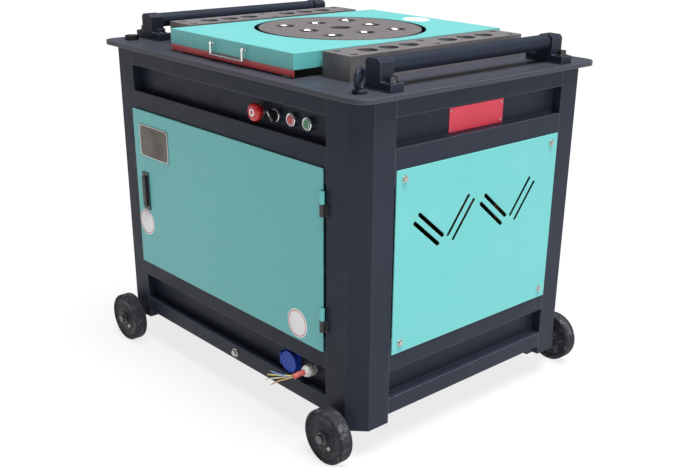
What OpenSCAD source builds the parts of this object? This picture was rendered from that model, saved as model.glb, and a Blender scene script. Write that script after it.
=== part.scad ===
// Rebar bender: a wheeled steel cabinet with a bolted work table, a turning pin disc driven through
// a two-stage gearbox and V-belts, two drilled backing strips, two stock rollers and a lift-off cover.
// Origin on the floor below the disc axis, +Z up, the door and the controls on the -Y side.

/* [Cabinet] */
// Width over the corner posts
frame_w = 960; // [900:10:1040]
// Depth over the corner posts
frame_d = 735; // [700:5:800]
// Height of the corner posts
post_h = 738; // [738:2:780]
// Height of the post feet above the floor
post_z = 70; // [68:1:74]
// Thickness of the folded sheet
sheet_t = 3; // [2:0.5:4]
// Chamfer folded into each corner post
chamfer = 38; // [30:1:44]
// Width of a post seen from the front, chamfer included
post_face_x = 103; // [95:1:110]
// Width of a post seen from the side, chamfer included
post_face_y = 97; // [90:1:104]
// Depth of the long recesses pressed into the bands
recess_depth = 25; // [20:1:28]

/* [Table] */
// Thickness of the table plate
plate_t = 10; // [8:1:14]
// Overhang of the table plate past the posts
overhang = 17.5; // [15:0.5:25]
// Corner radius of the table plate
plate_r = 38; // [30:1:45]
// Shift of the table hardware behind the disc axis
hardware_y = 4; // [0:1:10]

/* [Work disc] */
// Diameter of the work disc
disc_d = 400; // [380:5:410]
// Thickness of the work disc
disc_t = 36; // [30:1:38]
// Diameter of every pin hole
pin_hole_d = 46; // [40:1:50]
// Spacing of the 3 by 3 hole grid
pin_pitch = 97; // [90:1:100]
// Angle at which the disc has stopped
disc_turn = -3; // [-10:1:10]

/* [Hole strips] */
// Width of a strip
strip_w = 88; // [80:1:94]
// Length of a strip
strip_l = 552; // [540:4:568]
// Height of a strip
strip_h = 53; // [50:1:56]
// Distance from the disc axis to a strip's centre line
strip_x = 297; // [294:1:300]

/* [Stock rollers] */
// Diameter of a roller
roller_d = 35; // [30:1:40]
// Distance from the disc axis to a roller's axis
roller_x = 427; // [424:1:430]
// Thickness of a roller bracket
bracket_t = 36; // [30:1:40]
// Distance between the inner faces of the brackets
roller_span = 513; // [500:1:530]

/* [Wheels] */
// Diameter of a wheel
wheel_d = 130; // [126:1:132]
// Width of a wheel
wheel_w = 34; // [30:1:38]
// Distance from the centre line to an axle
axle_x = 428; // [420:1:432]

/* [Cover] */
// Width of the cover
cover_w = 470; // [462:2:474]
// Length of the cover
cover_l = 660; // [640:10:670]
// Diameter of the cover's round opening
cover_hole_d = 423; // [418:1:426]

/* [Drive] */
// Module of the final gear pair
final_module = 4; // [4:1:4]
// Module of the first gear pair
first_module = 3; // [3:1:3]
// Teeth of both large gears
gear_teeth = 72; // [72:1:72]
// Teeth of both pinions
pinion_teeth = 18; // [18:1:18]

/* [Hidden] */
$fn = 64;
eps = 0.01;
fit = 0.05;                                  // radial running clearance of every shaft and pin
half_w = frame_w / 2;
half_d = frame_d / 2;
table_z = post_z + post_h;
top_z = table_z + plate_t;                   // upper face of the table plate
work_z = top_z + strip_h;                    // working height: strips, cover and disc are level
run_x = frame_w - 2 * post_face_x;           // clear width between the front posts
run_y = frame_d - 2 * post_face_y;           // clear depth between the side posts
recess_hi = [704, 768];                      // lower and upper edge of the upper recess
recess_lo = [131, 199];
rail_z = 92;                                 // underside of the bottom rails
lip_hi = 625;                                // edges of the sheet behind the door and the panels
lip_lo = 277;
panel_z = [240, 658];                        // lower and upper edge of the door and the panels
panel_gap = 3;
panel_t = 3;
// drive
final_dist = final_module * (gear_teeth + pinion_teeth) / 2;
first_dist = first_module * (gear_teeth + pinion_teeth) / 2;
counter_xy = [-final_dist, 0];
input_xy = [-final_dist, first_dist];
motor_xy = [285, 225];
pulley_z = 546;
pulley_big_r = 120;
pulley_small_r = 40;
groove_pitch = 16;
belt_count = 3;
shaft_r = 45;
// wheels and axles
axle_z = wheel_d / 2;
axle_r = 10;
wheel_y = 403;
nut_y = 421;
nut_h = 11;
// door hinge and latch
hinge_x = 373;
hinge_y = -375;
hinge_r = 6;
hinge_pin_r = 3.5;
hinge_h = 27;
hinge_zs = [583, 318];
door_x = [-384, 371];
door_y = -half_d - 4.5;                      // outer face of the door
latch_x = -340;
latch_z = 446;
latch_pivot_z = 478;
// controls
control_z = 734;
control_xs = [136, 190, 244, 298];
recess_y = -half_d + recess_depth;           // outer face of the front recesses
button_r = 11;
// rollers and brackets
bracket_h = 63;
roller_pin_r = 10;
roller_z = top_z + bracket_h - roller_d / 2;   // rollers are level with the tops of their brackets
roller_y0 = hardware_y - roller_span / 2;
// cover, which stands a little off the disc axis, and its handle
cover_xy = [7, -12];
cover_t = 2.5;
skirt = 35;
trim_z = 821.5;
bail_z = 859;
bail_x = [-41, 80];
bail_aside = 7.5;                            // from a post's axis to the wire hanging on its left
bail_post_r = 4.5;
bail_y = cover_xy[1] - cover_l / 2 - 9;
// supply inlet
gland_x = 306;
inlet_z = 165;
socket_x = 233;
socket_z = 159;
lid_r = 27;
lid_hinge = [202, -357];
// points of the red sheath and of the four bare-ended cores, from the gland outwards
sheath_path = [[306, -374, 165], [306, -382, 165], [305, -390, 164], [303, -398, 162]];
core_ends = [[238, -424, 150], [246, -420, 160], [234, -426, 136], [252, -424, 130]];
core_lead = [-0.5, -1.9, -0.5];              // from the sheath's end to where the cores begin
core_r = 1.6;
sheath_r = 6.5;

charcoal = "#2c303c";
teal = "#7fd6d6";
steel = "#9a9498";

// ---------- helpers ----------

module on_corners() {
    for (sx = [-1, 1], sy = [-1, 1])
        translate([sx * half_w, sy * half_d, 0])
            mirror([sx > 0 ? 1 : 0, 0, 0])
                mirror([0, sy > 0 ? 1 : 0, 0])
                    children();
}

// lays a profile drawn as (depth, height) on the front face and runs it along X
module along_face(length) {
    translate([length / 2, 0, 0])
        rotate([90, 0, -90])
            linear_extrude(length)
                mirror([1, 0])
                    children();
}

module rod_y(r, y0, y1, x, z) {
    translate([x, y0, z])
        rotate([-90, 0, 0])
            cylinder(r = r, h = y1 - y0);
}

module slot_2d(length, width) {
    square([length - width, width], center = true);
    for (side = [-1, 1])
        translate([side * (length - width) / 2, 0])
            circle(d = width);
}

module hex_bolt(across, head_h, washer_r, washer_h) {
    cylinder(r = washer_r, h = washer_h);
    translate([0, 0, washer_h])
        cylinder(d = across / cos(30), h = head_h, $fn = 6);
}

// outline of a spur gear with involute flanks and a little backlash
function inv(a) = tan(a) * 180 / PI - a;
function flank_angle(r, rb) = inv(acos(rb / r));
function gear_outline(m, n) =
    let (rp = m * n / 2, rb = rp * cos(20), ra = rp + m, rf = rp - 1.25 * m,
        half = 90 / n - 0.13 * 180 / (PI * rp) + inv(20),
        radii = [rb + 0.001, rb + (ra - rb) * 0.4, rb + (ra - rb) * 0.7, ra])
    [for (tooth = [0 : n - 1]) let (mid = tooth * 360 / n)
        each concat(
            [[rf, mid - half - 0.3]],
            [for (r = radii) [r, mid - half + flank_angle(r, rb)]],
            [for (i = [3 : -1 : 0]) [radii[i], mid + half - flank_angle(radii[i], rb)]],
            [[rf, mid + half + 0.3]])];
module spur_gear(m, n, width, bore_r) {
    linear_extrude(width)
        difference() {
            polygon([for (p = gear_outline(m, n)) p[0] * [cos(p[1]), sin(p[1])]]);
            circle(r = bore_r);
        }
}

// grooved pulley: a rim with belt_count grooves for the drive belts
module pulley(r, bore_r) {
    height = belt_count * groove_pitch + 4;
    rotate_extrude()
        difference() {
            translate([bore_r, 0])
                square([r + 4 - bore_r, height]);
            for (i = [0 : belt_count - 1])
                translate([r - 7, 2 + groove_pitch * (i + 0.5)])
                    polygon([[0, -5.5], [20, -9.5], [20, 9.5], [0, 5.5]]);
        }
}

// tube of several sides swept along a list of points; the rings keep their sides level
function ring_frame(path, i) =
    let (a = path[max(i - 1, 0)], b = path[min(i + 1, len(path) - 1)], t = (b - a) / norm(b - a),
        side = cross(t, [0, 0, 1]) / norm(cross(t, [0, 0, 1])))
    [side, cross(side, t)];
module swept_tube(path, r, sides) {
    count = len(path);
    points = [for (i = [0 : count - 1]) let (f = ring_frame(path, i))
        for (k = [0 : sides - 1])
            path[i] + r * (cos(360 * k / sides) * f[0] + sin(360 * k / sides) * f[1])];
    walls = [for (i = [0 : count - 2], k = [0 : sides - 1]) let (n = (k + 1) % sides)
        [i * sides + k, i * sides + n, (i + 1) * sides + n, (i + 1) * sides + k]];
    caps = [[for (k = [sides - 1 : -1 : 0]) k],
        [for (k = [0 : sides - 1]) (count - 1) * sides + k]];
    polyhedron(points, concat(walls, caps));
}

// ---------- cabinet ----------

module table_plate() {
    w = frame_w + 2 * overhang;
    d = frame_d + 2 * overhang;
    color(charcoal)
        translate([0, 0, table_z])
            linear_extrude(plate_t)
                difference() {
                    union() {
                        square([w - 2 * plate_r, d], center = true);
                        square([w, d - 2 * plate_r], center = true);
                        for (sx = [-1, 1], sy = [-1, 1])
                            translate([sx * (w / 2 - plate_r), sy * (d / 2 - plate_r)])
                                circle(r = plate_r);
                    }
                    circle(r = 80);
                }
}

module corner_posts() {
    t = sheet_t;
    ret = recess_depth + t;
    k = chamfer + t * (sqrt(2) - 1);
    color(charcoal)
        difference() {
            translate([0, 0, post_z])
                on_corners()
                    linear_extrude(post_h)
                        polygon([[chamfer, 0], [post_face_x, 0], [post_face_x, ret],
                            [post_face_x - t, ret], [post_face_x - t, t], [k, t], [t, k],
                            [t, post_face_y - t], [ret, post_face_y - t], [ret, post_face_y],
                            [0, post_face_y], [0, chamfer]]);
            for (sx = [-1, 1])
                rod_y(axle_r + 1, -half_d - 1, half_d + 1, sx * axle_x, axle_z);
        }
}

// section of the folded bands: depth behind the face, height above the floor
module upper_band_section() {
    t = sheet_t;
    lo = recess_hi[0];
    hi = recess_hi[1];
    d = recess_depth;
    polygon([[0, table_z], [0, hi], [d, hi], [d, lo], [0, lo], [0, lip_hi], [t, lip_hi],
        [t, lo - t], [d + t, lo - t], [d + t, hi + t], [t, hi + t], [t, table_z]]);
}

module lower_band_section() {
    t = sheet_t;
    lo = recess_lo[0];
    hi = recess_lo[1];
    d = recess_depth;
    polygon([[0, lip_lo], [0, hi], [d, hi], [d, lo], [0, lo], [0, rail_z], [d + 5, rail_z],
        [d + 5, rail_z + t], [t, rail_z + t], [t, lo - t], [d + t, lo - t], [d + t, hi + t],
        [t, hi + t], [t, lip_lo]]);
}

module face_bands(length, face) {
    translate([0, -face, 0]) {
        along_face(length)
            upper_band_section();
        along_face(length)
            lower_band_section();
    }
}

module front_bands() {
    color(charcoal)
        difference() {
            face_bands(run_x, half_d);
            for (x = control_xs)
                rod_y(button_r + 1, recess_y - 1, recess_y + sheet_t + 1, x, control_z);
            rod_y(9, recess_y - 1, recess_y + sheet_t + 1, gland_x, inlet_z);
        }
}

module outer_bands() {
    color(charcoal) {
        rotate([0, 0, 180])
            face_bands(run_x, half_d);
        for (turn = [-90, 90])
            rotate([0, 0, turn])
                face_bands(run_y, half_w);
    }
}

module base_pan() {
    inset = recess_depth + sheet_t + 1;
    color(charcoal)
        translate([0, 0, rail_z + sheet_t])
            linear_extrude(sheet_t)
                square([frame_w - 2 * inset, frame_d - 2 * inset], center = true);
}

module axle_brackets() {
    color(charcoal)
        for (sx = [-1, 1], sy = [-1, 1])
            difference() {
                translate([sx * axle_x - 15, sy * 287.5 - 12.5, axle_z - 12])
                    cube([30, 25, rail_z + sheet_t - axle_z + 12]);
                rod_y(axle_r, -340, 340, sx * axle_x, axle_z);
            }
}

module wheel_axles() {
    color(steel)
        for (sx = [-1, 1]) {
            rod_y(axle_r, -nut_y, nut_y, sx * axle_x, axle_z);
            for (sy = [-1, 1])
                rod_y(axle_r + 5, min(sy * 369, sy * 385), max(sy * 369, sy * 385), sx * axle_x, axle_z);
        }
}

module axle_nuts() {
    color("silver")
        for (sx = [-1, 1], sy = [-1, 1])
            translate([sx * axle_x, sy * nut_y, axle_z])
                rotate([sy > 0 ? -90 : 90, 0, 0]) {
                    cylinder(r = 14, h = 2);
                    translate([0, 0, 2])
                        cylinder(d = 19 / cos(30), h = nut_h - 2, $fn = 6);
                }
}

// wheel with a thin solid tyre on a nearly flat disc; the axis lies along Y
module wheel(sx, sy) {
    r = wheel_d / 2;
    h = wheel_w / 2;
    rim_r = 55;
    round_r = 6;
    translate([sx * axle_x, sy * wheel_y, axle_z])
        rotate([sy > 0 ? -90 : 90, 0, 0]) {
            color("#3a3a40")
                rotate_extrude() {
                    translate([rim_r, -h])
                        square([r - rim_r - round_r, 2 * h]);
                    translate([rim_r, -h + round_r])
                        square([r - rim_r, 2 * (h - round_r)]);
                    for (side = [-1, 1])
                        translate([r - round_r, side * (h - round_r)])
                            circle(r = round_r);
                }
            color("#1c1e24")
                rotate_extrude()
                    polygon([[axle_r + fit, -h], [22, -h], [26, -h + 7], [rim_r - 0.2, -h + 7],
                        [rim_r - 0.2, h - 2.5], [19, h - 2.5], [17, h], [axle_r + fit, h]]);
        }
}

module wheel_front_left() {
    wheel(-1, -1);
}

module wheel_front_right() {
    wheel(1, -1);
}

module wheel_rear_left() {
    wheel(-1, 1);
}

module wheel_rear_right() {
    wheel(1, 1);
}

// ---------- panels and door ----------

panel_w = run_y - 2 * panel_gap;
panel_h = panel_z[1] - panel_z[0];
panel_mid = (panel_z[0] + panel_z[1]) / 2;
bolt_y = 244;
bolt_zs = [264, 638];

// four pairs of slanted slots, drawn as (along the panel, height)
module vent_slots() {
    starts = [[-165, 510], [-63, 516.5], [47, 511.5], [150, 518]];
    for (i = [0 : 3]) {
        turn = i % 2 == 0 ? -40 : 52;
        for (side = [-1, 1])
            translate(starts[i])
                rotate(turn)
                    translate([0, side * 11])
                        slot_2d(108, 10);
    }
}

module side_panel() {
    translate([0, -half_w, 0])
        rotate([90, 0, 0])
            linear_extrude(panel_t)
                difference() {
                    translate([0, panel_mid])
                        square([panel_w, panel_h], center = true);
                    vent_slots();
                    for (y = [-bolt_y, bolt_y], z = bolt_zs)
                        translate([y, z])
                            circle(r = 4.5);
                }
}

module right_vent_panel() {
    color(teal)
        rotate([0, 0, 90])
            side_panel();
}

module left_vent_panel() {
    color(teal)
        rotate([0, 0, -90])
            side_panel();
}

module rear_panel() {
    color(teal)
        translate([0, half_d, 0])
            rotate([-90, 0, 0])
                linear_extrude(panel_t)
                    translate([0, -panel_mid])
                        square([run_x - 2 * panel_gap, panel_h], center = true);
}

module panel_bolts() {
    color("silver") {
        for (turn = [-90, 90], y = [-bolt_y, bolt_y], z = bolt_zs)
            rotate([0, 0, turn])
                translate([y, -half_w - panel_t, z])
                    rotate([90, 0, 0])
                        hex_bolt(10, 4, 8, 1.2);
        for (x = [-345, 345], z = bolt_zs)
            translate([x, half_d + panel_t, z])
                rotate([-90, 0, 0])
                    hex_bolt(10, 4, 8, 1.2);
    }
}

module side_blank_plate() {
    color("#d9415a")
        translate([half_w - recess_depth, 0, 732])
            rotate([0, 90, 0])
                linear_extrude(1.5)
                    square([54, 177], center = true);
}

module front_door() {
    w = door_x[1] - door_x[0];
    fold = 12;
    color(teal)
        difference() {
            union() {
                translate([door_x[0], door_y, panel_z[0]])
                    cube([w, 3, panel_h]);
                // stiffening frame that stands inside the opening
                translate([-362, door_y + 3 - eps, lip_lo + 8])
                    difference() {
                        cube([722, fold + eps, lip_hi - lip_lo - 16]);
                        translate([3, -1, 3])
                            cube([716, fold + 2, lip_hi - lip_lo - 22]);
                    }
            }
            rod_y(7, door_y - 1, door_y + 4, latch_x, latch_pivot_z);
            // notches round the hinge barrels
            for (z = hinge_zs)
                translate([hinge_x - hinge_r - 0.5, door_y - 1, z - hinge_h - 1])
                    cube([hinge_r, 5, 2 * hinge_h + 3]);
        }
}

// upper halves of the lift-off hinges, with a leaf welded to the door
module door_hinges() {
    leaf_w = 14;
    leaf_x = door_x[1] - leaf_w;
    color(teal)
        for (z = hinge_zs) {
            translate([hinge_x, hinge_y, z + 0.5])
                difference() {
                    cylinder(r = hinge_r, h = hinge_h);
                    translate([0, 0, -1])
                        cylinder(r = hinge_pin_r + fit, h = hinge_h - 4);
                }
            translate([leaf_x, door_y - 2.5, z + 0.5])
                difference() {
                    cube([leaf_w, 2.5, hinge_h]);
                    translate([hinge_x - leaf_x, hinge_y - door_y + 2.5, -1])
                        cylinder(r = hinge_r - eps, h = hinge_h + 2);
                }
        }
}

// lower halves of the hinges with their pins, welded to the right front post
module frame_hinges() {
    color("#202228")
        for (z = hinge_zs)
            translate([hinge_x, hinge_y, z - hinge_h]) {
                cylinder(r = hinge_r, h = hinge_h);
                cylinder(r = hinge_pin_r, h = 2 * hinge_h - 8);
                translate([2, 3.5, 0])
                    cube([10, -half_d - hinge_y - 3.5, hinge_h]);
            }
}

module door_nameplate() {
    color("#6f6560")
        translate([-354, door_y - 1.2, 541])
            cube([131, 1.2, 82]);
}

module latch_plate() {
    color("#202228")
        difference() {
            translate([latch_x - 14.5, door_y - 3, latch_z - 50])
                cube([29, 3, 100]);
            rod_y(7, door_y - 4, door_y + 4, latch_x, latch_pivot_z);
        }
}

// handle, spindle and inner tongue turn together in the door
module latch_handle() {
    color("#15161a") {
        translate([latch_x - 7, door_y - 9, latch_z - 40])
            cube([14, 5.5, 80]);
        rod_y(6.7, door_y - 5, -half_d + recess_depth + 9, latch_x, latch_pivot_z);
        translate([latch_x - 8, -half_d + recess_depth + 5, latch_pivot_z - 46])
            cube([16, 4, 54]);
    }
}

// ---------- controls and supply ----------

module control_bezels() {
    color("silver")
        for (x = control_xs)
            translate([x, recess_y, control_z])
                rotate([90, 0, 0]) {
                    inner = x == control_xs[0] ? 9.5 : button_r + 0.3;
                    difference() {
                        cylinder(r = 15, h = 10);
                        translate([0, 0, -1])
                            cylinder(r = inner, h = 12);
                    }
                    translate([0, 0, -sheet_t - 36])
                        difference() {
                            cylinder(r = 16, h = 36);
                            translate([0, 0, 30])
                                cylinder(r = button_r + 1, h = 7);
                        }
                }
}

module estop_button() {
    color("#d8232e")
        translate([control_xs[0], recess_y, control_z])
            rotate([90, 0, 0])
                rotate_extrude()
                    polygon([[0, 0.5], [9, 0.5], [9, 18], [19, 18], [20, 20], [20, 27], [18.5, 30],
                        [14, 32], [0, 33]]);
}

module selector_knob() {
    color("#15161a")
        translate([control_xs[1], recess_y, control_z])
            rotate([90, 0, 0]) {
                translate([0, 0, 0.5])
                    cylinder(r = button_r, h = 11.5);
                rotate([0, 0, -45])
                    translate([-13, -4, 12 - eps])
                        cube([26, 8, 13]);
            }
}

module push_button(x) {
    translate([x, recess_y, control_z])
        rotate([90, 0, 0])
            translate([0, 0, 0.5])
                cylinder(r = button_r, h = 12);
}

module stop_button() {
    color("#c01820")
        push_button(control_xs[2]);
}

module start_button() {
    color("#1f9a50")
        push_button(control_xs[3]);
}

// round inlet on a square flange, with two knuckles for the lid on its left
module socket_body() {
    flange = 52;
    knuckle_r = 3.2;
    color("#2a3fae")
        difference() {
            union() {
                translate([socket_x - flange / 2, recess_y - 5, socket_z - flange / 2])
                    cube([flange, 5, flange]);
                translate([lid_hinge[0] - knuckle_r, recess_y - 5, socket_z - 20])
                    cube([socket_x - lid_hinge[0] - 20, 5, 40]);
                rod_y(25.5, recess_y - 13, recess_y - 5 + eps, socket_x, socket_z);
                for (z = [socket_z - 16, socket_z + 8.3])
                    translate([lid_hinge[0], lid_hinge[1], z]) {
                        cylinder(r = knuckle_r, h = 7.7);
                        translate([-knuckle_r, 0, 0])
                            cube([2 * knuckle_r, recess_y - 4 - lid_hinge[1], 7.7]);
                    }
            }
            rod_y(22, recess_y - 14, recess_y - 3, socket_x, socket_z);
            for (turn = [90, 210, 330])
                rod_y(3, recess_y - 4, recess_y + 1, socket_x + 12 * cos(turn), socket_z + 12 * sin(turn));
            translate([lid_hinge[0], lid_hinge[1], socket_z - 17])
                cylinder(r = 1.3 + fit, h = 34);
        }
}

// spring lid on an upright pin at the left of the socket
module socket_lid() {
    lid_y = recess_y - 17.5;
    color("#2f55c0") {
        rod_y(lid_r, lid_y, lid_y + 4, socket_x, socket_z);
        translate([lid_hinge[0], lid_y, socket_z - 7])
            cube([14, 3, 14]);
        translate([lid_hinge[0], lid_hinge[1], socket_z - 8])
            cylinder(r = 3, h = 16);
        translate([lid_hinge[0], lid_hinge[1], socket_z - 15])
            cylinder(r = 1.3, h = 30);
    }
}

module cable_gland() {
    color("whitesmoke")
        translate([gland_x, recess_y, inlet_z])
            rotate([90, 0, 0])
                difference() {
                    union() {
                        translate([0, 0, -12])
                            cylinder(r = 8.8, h = 14);
                        cylinder(d = 30, h = 8, $fn = 6);
                        translate([0, 0, 8 - eps])
                            rotate_extrude()
                                polygon([[0, 0], [14, 0], [14, 14], [12, 20], [9, 23.5], [0, 23.5]]);
                    }
                    translate([0, 0, -13])
                        cylinder(r = sheath_r, h = 50);
                }
}

module supply_sheath() {
    color("#e06a6a")
        swept_tube(sheath_path, sheath_r, 12);
}

// each core leaves the sheath's end and droops to its own end point
function core_point(end, side, s) =
    let (start = sheath_path[len(sheath_path) - 1] + core_lead + side)
    start + (end - start) * s + [0, -9 * sin(180 * s), 3 * sin(180 * s)];

module supply_cores() {
    sides = [[0, 0, 2], [0, 0, -2], [-2, 1, 0], [2, -1, 0]];
    colors = ["#d8c84a", "#5a8fe0", "#e8e0b0", "#c04030"];
    for (i = [0 : 3])
        color(colors[i])
            swept_tube([for (s = [0 : 0.1 : 1]) core_point(core_ends[i], sides[i], s)], core_r, 8);
}

module ground_bolt() {
    color("silver")
        translate([29, -half_d, 110])
            rotate([90, 0, 0])
                hex_bolt(13, 6, 11, 1.6);
}

module electrical_box() {
    color("#9aa0a8") {
        translate([-330, -300, rail_z + 2 * sheet_t])
            cube([230, 110, 240]);
        for (x = [-310, -245, -180])
            translate([x, -306, 180])
                cube([50, 6, 80]);
    }
}

// ---------- table hardware ----------

strip_holes = [63, 125, 187];
strip_bolt_y = strip_l / 2 - 25;

module hole_strip(side) {
    color(steel)
        translate([side * strip_x, hardware_y, top_z])
            linear_extrude(strip_h)
                difference() {
                    square([strip_w, strip_l], center = true);
                    for (y = strip_holes, sy = [-1, 1])
                        translate([0, sy * y])
                            circle(d = pin_hole_d);
                    for (y = [-strip_bolt_y, 0, strip_bolt_y], x = [-27, 27])
                        translate([x, y])
                            circle(d = 18);
                }
}

module hole_strip_left() {
    hole_strip(-1);
}

module hole_strip_right() {
    hole_strip(1);
}

// socket-head screws deep in the strips' small holes
module strip_bolts() {
    color("#45464c")
        for (side = [-1, 1], y = [-strip_bolt_y, 0, strip_bolt_y], x = [-27, 27])
            translate([side * strip_x + x, hardware_y + y, top_z])
                difference() {
                    cylinder(r = 8.8, h = strip_h - 8);
                    translate([0, 0, strip_h - 16])
                        cylinder(d = 11, h = 10, $fn = 6);
                }
}

bracket_ys = [roller_y0 - bracket_t, roller_y0 + roller_span];

module roller_brackets() {
    foot = 53;
    neck = 22;
    cut = 7;
    color(charcoal)
        difference() {
            for (sx = [-1, 1], y = bracket_ys)
                translate([sx * roller_x, y + bracket_t, top_z])
                    rotate([90, 0, 0])
                        linear_extrude(bracket_t)
                            polygon([[-foot, 0], [foot, 0], [foot, 18], [neck, 18], [neck, bracket_h - cut],
                                [neck - cut, bracket_h], [cut - neck, bracket_h], [-neck, bracket_h - cut],
                                [-neck, 18], [-foot, 18]]);
            for (sx = [-1, 1])
                rod_y(roller_pin_r + fit, roller_y0 - 21, roller_y0 + roller_span + 21,
                    sx * roller_x, roller_z);
        }
}

module roller(side) {
    color(charcoal) {
        rod_y(roller_d / 2, roller_y0 + 1, roller_y0 + roller_span - 1, side * roller_x, roller_z);
        rod_y(roller_pin_r, roller_y0 - 20, roller_y0 + roller_span + 20, side * roller_x, roller_z);
    }
}

module roller_left() {
    roller(-1);
}

module roller_right() {
    roller(1);
}

// bracket bolts and the plug bolt in the spare lifting hole
module table_bolts() {
    color("#5a5c64") {
        for (sx = [-1, 1], y = bracket_ys, x = [-37.5, 37.5])
            translate([sx * roller_x + x, y + bracket_t / 2, top_z + 18])
                hex_bolt(19, 9, 13, 2.5);
        translate([-440, -327, top_z])
            cylinder(d = 30 / cos(30), h = 12, $fn = 6);
    }
}

module lifting_eye() {
    color(charcoal)
        translate([437, -332, top_z]) {
            cylinder(r = 15, h = 7);
            translate([0, 0, 6])
                cylinder(r = 7, h = 7);
            translate([0, 0, 28.5])
                rotate([90, 0, -64])
                    rotate_extrude()
                        translate([18.5, 0])
                            circle(r = 5.5, $fn = 32);
        }
}

// ---------- cover ----------

module on_cover() {
    translate([cover_xy[0], cover_xy[1], 0])
        children();
}

// folded box with a round opening; four feet inside the skirt stand on the table
module work_cover() {
    foot_w = 24;
    color(teal) {
        difference() {
            on_cover()
                translate([-cover_w / 2, -cover_l / 2, work_z - skirt])
                    cube([cover_w, cover_l, skirt]);
            on_cover()
                translate([-cover_w / 2 + cover_t, -cover_l / 2 + cover_t, work_z - skirt - 1])
                    cube([cover_w - 2 * cover_t, cover_l - 2 * cover_t, skirt + 1 - cover_t]);
            translate([0, 0, work_z - skirt])
                cylinder(d = cover_hole_d, h = skirt + 1);
        }
        on_cover()
            for (sx = [-1, 1], sy = [-1, 1])
                translate([sx * (cover_w / 2 - 30), sy * (cover_l / 2 - 3.75), top_z])
                    translate([-foot_w / 2, -1.26, 0])
                        cube([foot_w, 2.52, work_z - top_z - 10]);
    }
}

// red strips below the front and rear skirts
module cover_trim() {
    color("#b02a30")
        on_cover()
            for (sy = [-1, 1])
                translate([-cover_w / 2, sy * (cover_l / 2 - 1) - 1, trim_z])
                    cube([cover_w, 2, work_z - skirt - trim_z]);
}

module handle_posts() {
    color("silver")
        for (x = bail_x)
            difference() {
                rod_y(bail_post_r, bail_y - 6, bail_y + 9, x, bail_z);
                translate([x - 8, bail_y, bail_z])
                    rotate([0, 90, 0])
                        cylinder(r = 2.6, h = 16);
            }
}

// wire bail that hangs from the two posts
module cover_handle() {
    r = 2.5;
    drop = 25;
    wires = bail_x - [bail_aside, bail_aside];
    color("silver") {
        for (x = wires)
            translate([x, bail_y, bail_z])
                rotate([0, 90, 0])
                    cylinder(r = r, h = bail_aside + 4);
        for (x = wires)
            translate([x, bail_y, bail_z - drop]) {
                cylinder(r = r, h = drop);
                sphere(r = r);
                translate([0, 0, drop])
                    sphere(r = r);
            }
        translate([wires[0], bail_y, bail_z - drop])
            rotate([0, 90, 0])
                cylinder(r = r, h = wires[1] - wires[0]);
    }
}

// ---------- drive ----------

module work_disc() {
    color(steel)
        translate([0, 0, work_z - disc_t])
            rotate([0, 0, disc_turn])
                difference() {
                    cylinder(d = disc_d, h = disc_t, $fn = 128);
                    for (i = [-1 : 1], j = [-1 : 1])
                        if (i != 0 || j != 0)
                            translate([i * pin_pitch, j * pin_pitch, -1])
                                cylinder(d = pin_hole_d, h = disc_t + 2);
                    translate([0, 0, -1])
                        rotate([0, 0, 22.5])
                            cylinder(r = 27, h = disc_t + 2, $fn = 8);
                }
}

module main_shaft() {
    disc_z = work_z - disc_t;
    color("silver")
        difference() {
            union() {
                translate([0, 0, 613])
                    cylinder(r = 30, h = 28);
                translate([0, 0, 640])
                    cylinder(r = shaft_r, h = disc_z - 640);
                translate([0, 0, disc_z - 8])
                    cylinder(r = 95, h = 8);
            }
            translate([0, 0, disc_z - 60])
                cylinder(d = pin_hole_d, h = 61);
        }
}

// bearing housing in the table plate, with a flange on top
module table_bearing() {
    difference() {
        union() {
            translate([0, 0, table_z - 11])
                cylinder(r = 79.9, h = plate_t + 12);
            translate([0, 0, top_z])
                cylinder(r = 110, h = 8);
        }
        translate([0, 0, table_z - 12])
            cylinder(r = shaft_r + fit, h = 40);
    }
}

module main_gear() {
    color("#8d9098")
        translate([0, 0, 700])
            rotate([0, 0, 180])
                spur_gear(final_module, gear_teeth, 50, shaft_r);
}

module counter_gears() {
    color("#8d9098")
        translate([counter_xy[0], counter_xy[1], 0]) {
            translate([0, 0, 613])
                cylinder(r = 16, h = 182);
            translate([0, 0, 696])
                rotate([0, 0, 180 / pinion_teeth])
                    spur_gear(final_module, pinion_teeth, 58, 15.9);
            translate([0, 0, 640])
                rotate([0, 0, 90])
                    spur_gear(first_module, gear_teeth, 32, 15.9);
        }
}

module input_shaft() {
    color("#8d9098")
        translate([input_xy[0], input_xy[1], 0]) {
            translate([0, 0, pulley_z])
                cylinder(r = 14, h = 795 - pulley_z);
            translate([0, 0, 636])
                rotate([0, 0, 270 + 180 / pinion_teeth])
                    spur_gear(first_module, pinion_teeth, 40, 13.9);
            translate([0, 0, pulley_z])
                pulley(pulley_big_r, 13.9);
        }
}

module motor_rotor() {
    color("#8d9098")
        translate([motor_xy[0], motor_xy[1], 0]) {
            translate([0, 0, 500])
                cylinder(r = 14, h = 100);
            translate([0, 0, pulley_z])
                pulley(pulley_small_r, 13.9);
        }
}

case_x = [-305, 165];
case_y = [-165, 185];
case_z = [601, 796];

module gearbox_case() {
    wall = 10;
    size = [case_x[1] - case_x[0], case_y[1] - case_y[0], case_z[1] - case_z[0]];
    color("#5f7f6a")
        difference() {
            translate([case_x[0], case_y[0], case_z[0]])
                cube(size);
            translate([case_x[0] + wall, case_y[0] + wall, case_z[0] + 12])
                cube([size[0] - 2 * wall, size[1] - 2 * wall, size[2]]);
            translate([input_xy[0], input_xy[1], case_z[0] - 1])
                cylinder(r = 30, h = 20);
        }
}

module gearbox_lid() {
    color("#5f7f6a")
        difference() {
            translate([case_x[0], case_y[0], case_z[1]])
                cube([case_x[1] - case_x[0], case_y[1] - case_y[0], table_z - case_z[1]]);
            translate([0, 0, case_z[1] - 1])
                cylinder(r = 80, h = 20);
        }
}

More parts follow.
